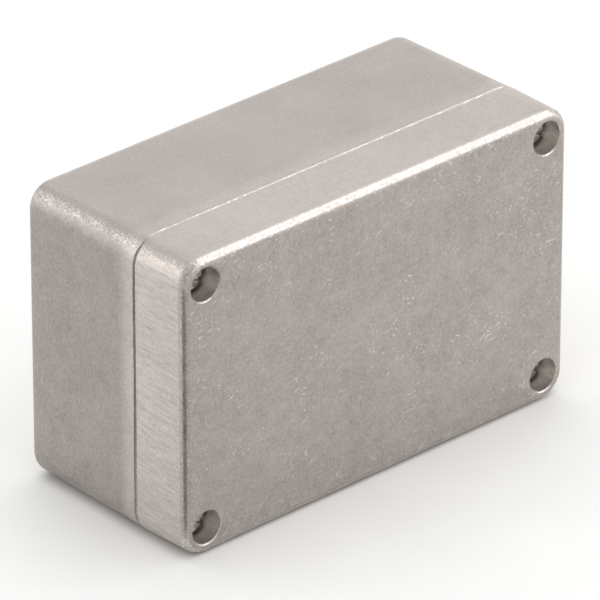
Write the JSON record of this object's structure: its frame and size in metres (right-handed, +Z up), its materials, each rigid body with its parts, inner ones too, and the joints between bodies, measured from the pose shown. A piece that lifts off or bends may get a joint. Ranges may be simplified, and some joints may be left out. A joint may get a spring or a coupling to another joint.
{
  "type": "die cast aluminium enclosure",
  "caption": "Rectangular die cast metal enclosure with a sealed lid held by recessed captive corner screws, standing on its long side.",
  "frame": {"origin": "middle of the footprint, on the surface that the box stands on", "axes": "+X along the length, +Y through the depth towards the back, +Z up; the lid faces -Y"},
  "size_m": [0.125, 0.057, 0.08],
  "materials": {
    "cast_base": "tumbled, satin",
    "cast_lid": "tumbled, satin",
    "gasket_rubber": "matt",
    "stainless_steel": "turned",
    "nylon": "moulded",
    "earth_brass": "bright",
    "spring_steel": "zinc plated"
  },
  "bodies": {
    "base": {"base_casting": "cast_base", "earth_washer": "earth_brass", "earth_clamp": "earth_brass"},
    "lid": {"lid_casting": "cast_lid", "gasket": "gasket_rubber"},
    "ring_upper_left": {"retaining_ring_upper_left": "nylon"},
    "ring_upper_right": {"retaining_ring_upper_right": "nylon"},
    "ring_lower_left": {"retaining_ring_lower_left": "nylon"},
    "ring_lower_right": {"retaining_ring_lower_right": "nylon"},
    "screw_upper_left": {"lid_screw_upper_left": "stainless_steel"},
    "screw_upper_right": {"lid_screw_upper_right": "stainless_steel"},
    "screw_lower_left": {"lid_screw_lower_left": "stainless_steel"},
    "screw_lower_right": {"lid_screw_lower_right": "stainless_steel"},
    "earth_spring_washer": {"earth_spring_washer": "spring_steel"},
    "earth_screw": {"earth_screw": "earth_brass"}
  },
  "joints": [
    {"name": "lid_lift", "type": "slide", "parent": "base", "child": "lid", "axis": [0, -1, 0], "range_m": [0, 0.06]},
    {"name": "screw_upper_left_travel", "type": "slide", "parent": "lid", "child": "ring_upper_left", "axis": [0, -1, 0], "range_m": [0, 0.00525]},
    {"name": "screw_upper_right_travel", "type": "slide", "parent": "lid", "child": "ring_upper_right", "axis": [0, -1, 0], "range_m": [0, 0.00525]},
    {"name": "screw_lower_left_travel", "type": "slide", "parent": "lid", "child": "ring_lower_left", "axis": [0, -1, 0], "range_m": [0, 0.00525]},
    {"name": "screw_lower_right_travel", "type": "slide", "parent": "lid", "child": "ring_lower_right", "axis": [0, -1, 0], "range_m": [0, 0.00525]},
    {"name": "screw_upper_left_turn", "type": "hinge", "parent": "ring_upper_left", "child": "screw_upper_left", "pos_m": [-0.0552, -0.0197, 0.0727], "axis": [0, -1, 0], "range_deg": [0, 2700]},
    {"name": "screw_upper_right_turn", "type": "hinge", "parent": "ring_upper_right", "child": "screw_upper_right", "pos_m": [0.0552, -0.0197, 0.0727], "axis": [0, -1, 0], "range_deg": [0, 2700]},
    {"name": "screw_lower_left_turn", "type": "hinge", "parent": "ring_lower_left", "child": "screw_lower_left", "pos_m": [-0.0552, -0.0197, 0.0073], "axis": [0, -1, 0], "range_deg": [0, 2700]},
    {"name": "screw_lower_right_turn", "type": "hinge", "parent": "ring_lower_right", "child": "screw_lower_right", "pos_m": [0.0552, -0.0197, 0.0073], "axis": [0, -1, 0], "range_deg": [0, 2700]},
    {"name": "earth_screw_travel", "type": "slide", "parent": "base", "child": "earth_spring_washer", "axis": [0, -1, 0], "range_m": [0, 0.0028]},
    {"name": "earth_screw_turn", "type": "hinge", "parent": "earth_spring_washer", "child": "earth_screw", "pos_m": [-0.0225, 0.0166, 0.016], "axis": [0, -1, 0], "range_deg": [0, 1440]}
  ],
  "couplings": [
    {"joint": "screw_upper_left_turn", "follows": "screw_upper_left_travel", "rad_per_m": 8975.9},
    {"joint": "screw_upper_right_turn", "follows": "screw_upper_right_travel", "rad_per_m": 8975.9},
    {"joint": "screw_lower_left_turn", "follows": "screw_lower_left_travel", "rad_per_m": 8975.9},
    {"joint": "screw_lower_right_turn", "follows": "screw_lower_right_travel", "rad_per_m": 8975.9},
    {"joint": "earth_screw_turn", "follows": "earth_screw_travel", "rad_per_m": 8975.9}
  ]
}
